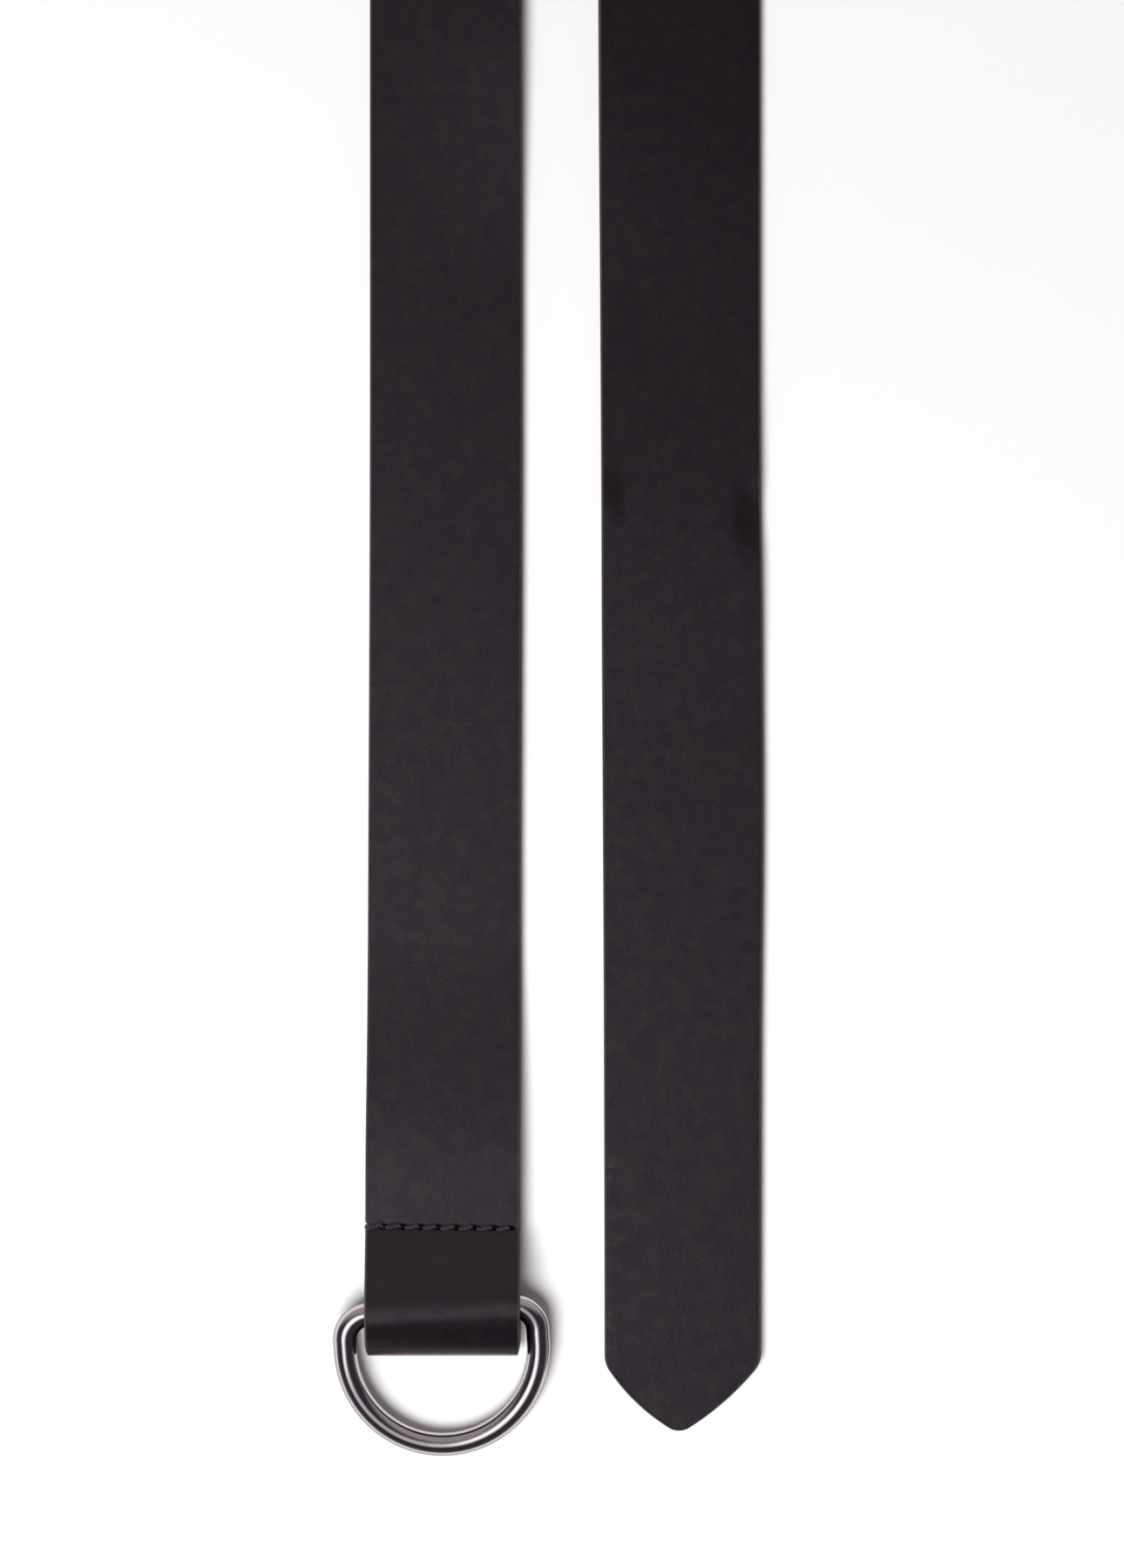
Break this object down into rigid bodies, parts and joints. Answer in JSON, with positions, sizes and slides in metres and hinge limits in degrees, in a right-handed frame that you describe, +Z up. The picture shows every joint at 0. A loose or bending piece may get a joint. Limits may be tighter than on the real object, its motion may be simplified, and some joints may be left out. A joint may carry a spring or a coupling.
{
  "type": "leather ring belt",
  "caption": "Plain leather strap folded and sewn round the bar of a D-shaped ring at one end, pointed at the other, lying with its middle turned back on edge.",
  "frame": {"origin": "middle of the belt's box, on the surface it lies on", "axes": "+Y along the strands towards the turned back middle, +Z up from the surface, +X from the ring strand towards the tail strand"},
  "size_m": [0.1098, 0.5614, 0.0403],
  "materials": {
    "leather": "black, satin, fine grain",
    "ring_metal": "polished dark nickel"
  },
  "bodies": {
    "strap": {"strap": "leather"},
    "ring": {"d_ring": "ring_metal"}
  },
  "joints": [
    {"name": "ring_swivel", "type": "hinge", "parent": "strap", "child": "ring", "pos_m": [-0.02772, -0.24305, 0.00685], "axis": [-0.9981, -0.061, 0], "range_deg": [-140, 170]}
  ]
}
